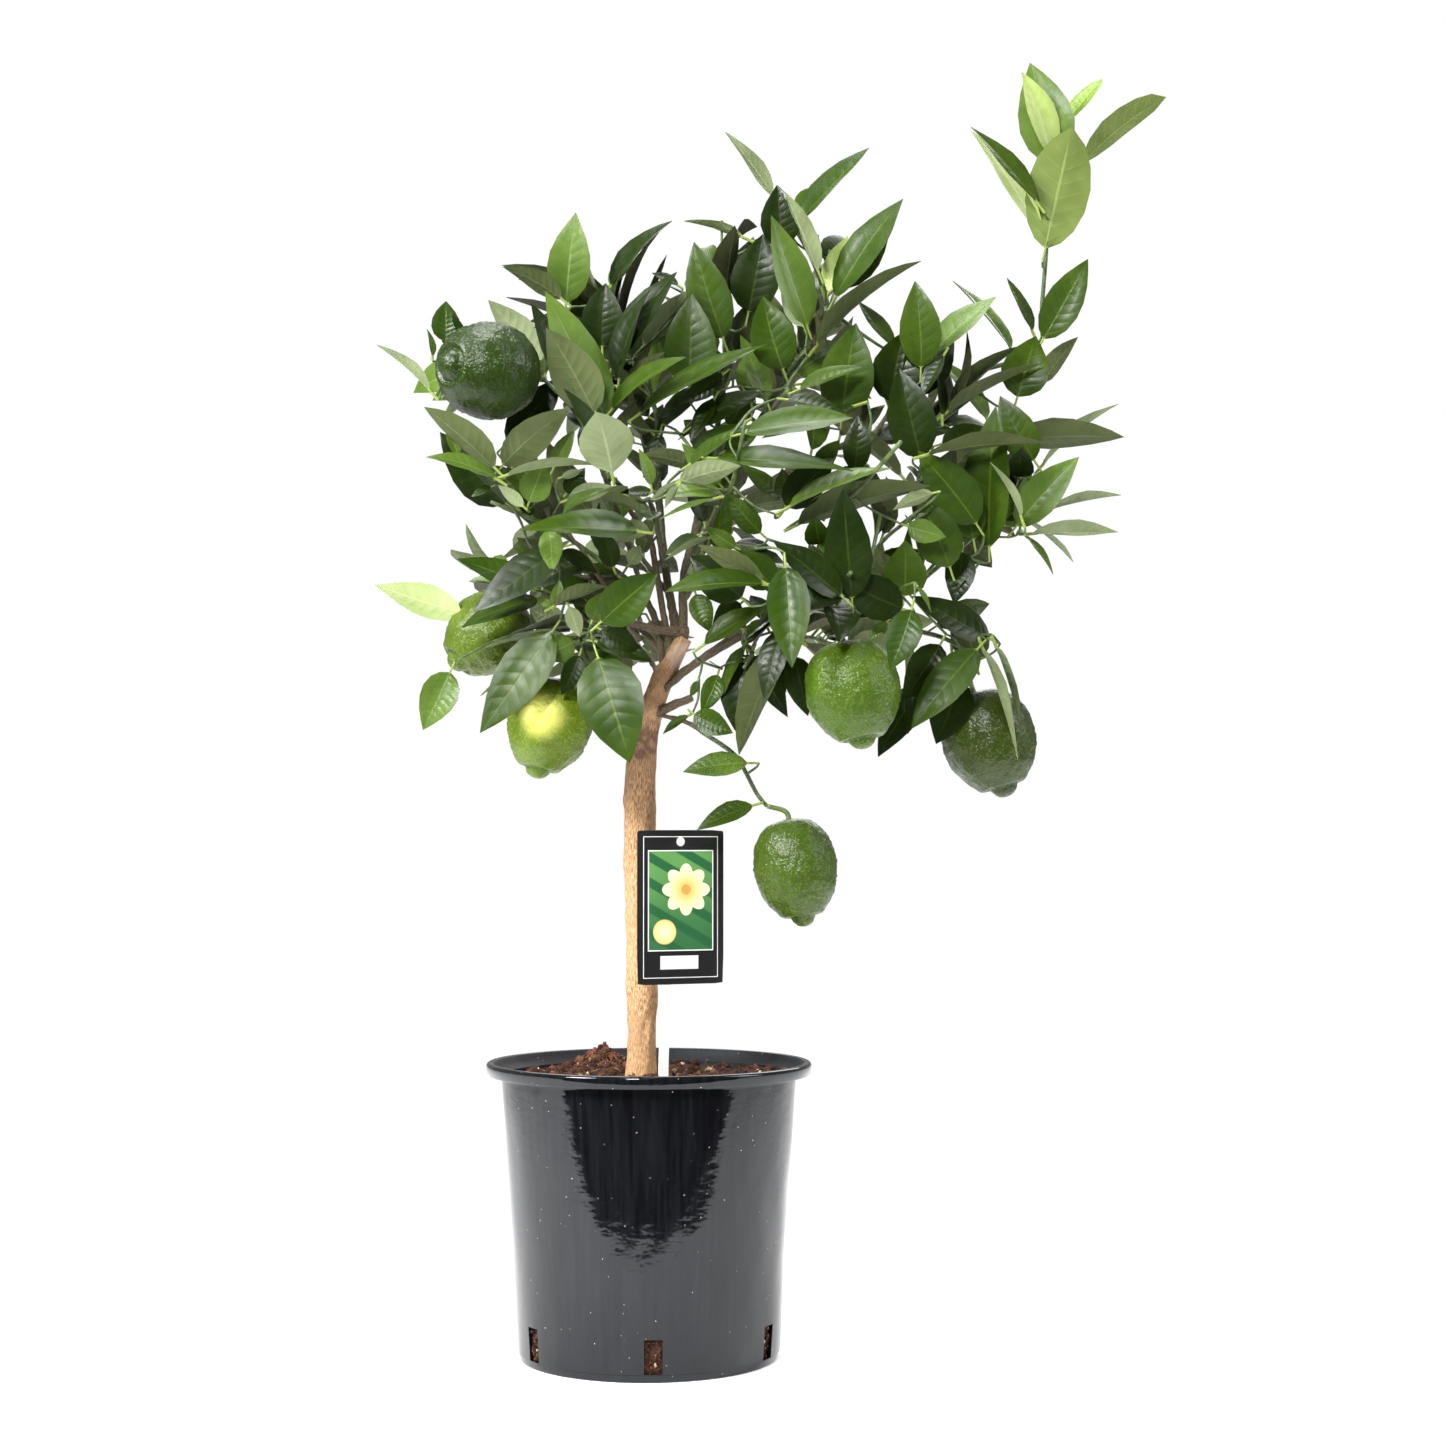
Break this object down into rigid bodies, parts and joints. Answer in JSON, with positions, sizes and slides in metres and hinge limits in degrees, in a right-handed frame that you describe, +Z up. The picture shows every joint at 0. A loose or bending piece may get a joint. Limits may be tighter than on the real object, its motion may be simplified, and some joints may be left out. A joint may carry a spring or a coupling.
{
  "type": "potted lemon tree",
  "caption": "Small lemon tree with a leaning trunk, open leafy crown and green fruit, in a round nursery pot of soil with a plant label on a stick.",
  "frame": {"origin": "centre of the pot's flat underside", "axes": "+Z up, -Y towards the front with the label, +X to the right as seen from the front"},
  "size_m": [0.558, 0.4042, 0.912],
  "materials": {
    "pot_plastic": "glossy black moulded plastic",
    "peat_soil": "dark fibrous peat potting soil",
    "trunk_bark": "pale tan finely fissured bark",
    "bough_bark": "smooth brown-green young bark",
    "foliage": "glossy dark green leaves, green twigs and pebbled green fruit",
    "label_print": "black card with a coloured picture panel",
    "label_white": "white plastic"
  },
  "bodies": {
    "root": {"pot": "pot_plastic", "soil": "peat_soil", "trunk": "trunk_bark", "label_card": "label_print", "label_stick": "label_white", "bough_back_high": "bough_bark", "bough_back_high_left": "bough_bark", "bough_back_left": "bough_bark", "bough_back_low_left": "bough_bark", "bough_back_low_right": "bough_bark", "bough_back_middle": "bough_bark", "bough_back_right": "bough_bark", "bough_centre_fruit": "bough_bark", "bough_centre_low": "bough_bark", "bough_front_left": "bough_bark", "bough_front_middle": "bough_bark", "bough_front_right": "bough_bark", "bough_hanging": "bough_bark", "bough_leader": "bough_bark", "bough_left": "bough_bark", "bough_left_fruit": "bough_bark", "bough_left_high": "bough_bark", "bough_left_leader": "bough_bark", "bough_low": "bough_bark", "bough_low_middle": "bough_bark", "bough_right": "bough_bark", "bough_right_fruit": "bough_bark", "bough_right_leader": "bough_bark", "bough_right_middle": "bough_bark", "bough_right_top": "bough_bark", "bough_top_middle": "bough_bark", "leaves_back_high": "foliage", "leaves_back_high_left": "foliage", "leaves_back_left": "foliage", "leaves_back_low_left": "foliage", "leaves_back_low_right": "foliage", "leaves_back_middle": "foliage", "leaves_back_right": "foliage", "leaves_centre_fruit": "foliage", "leaves_centre_low": "foliage", "leaves_front_left": "foliage", "leaves_front_middle": "foliage", "leaves_front_right": "foliage", "leaves_hanging_fruit": "foliage", "leaves_leader": "foliage", "leaves_left": "foliage", "leaves_left_fruit": "foliage", "leaves_left_high": "foliage", "leaves_low_left": "foliage", "leaves_low_middle": "foliage", "leaves_right_fruit": "foliage", "leaves_right_middle": "foliage", "leaves_right_tip": "foliage", "leaves_right_top": "foliage", "leaves_top": "foliage", "leaves_top_left": "foliage", "leaves_top_middle": "foliage"}
  },
  "joints": []
}
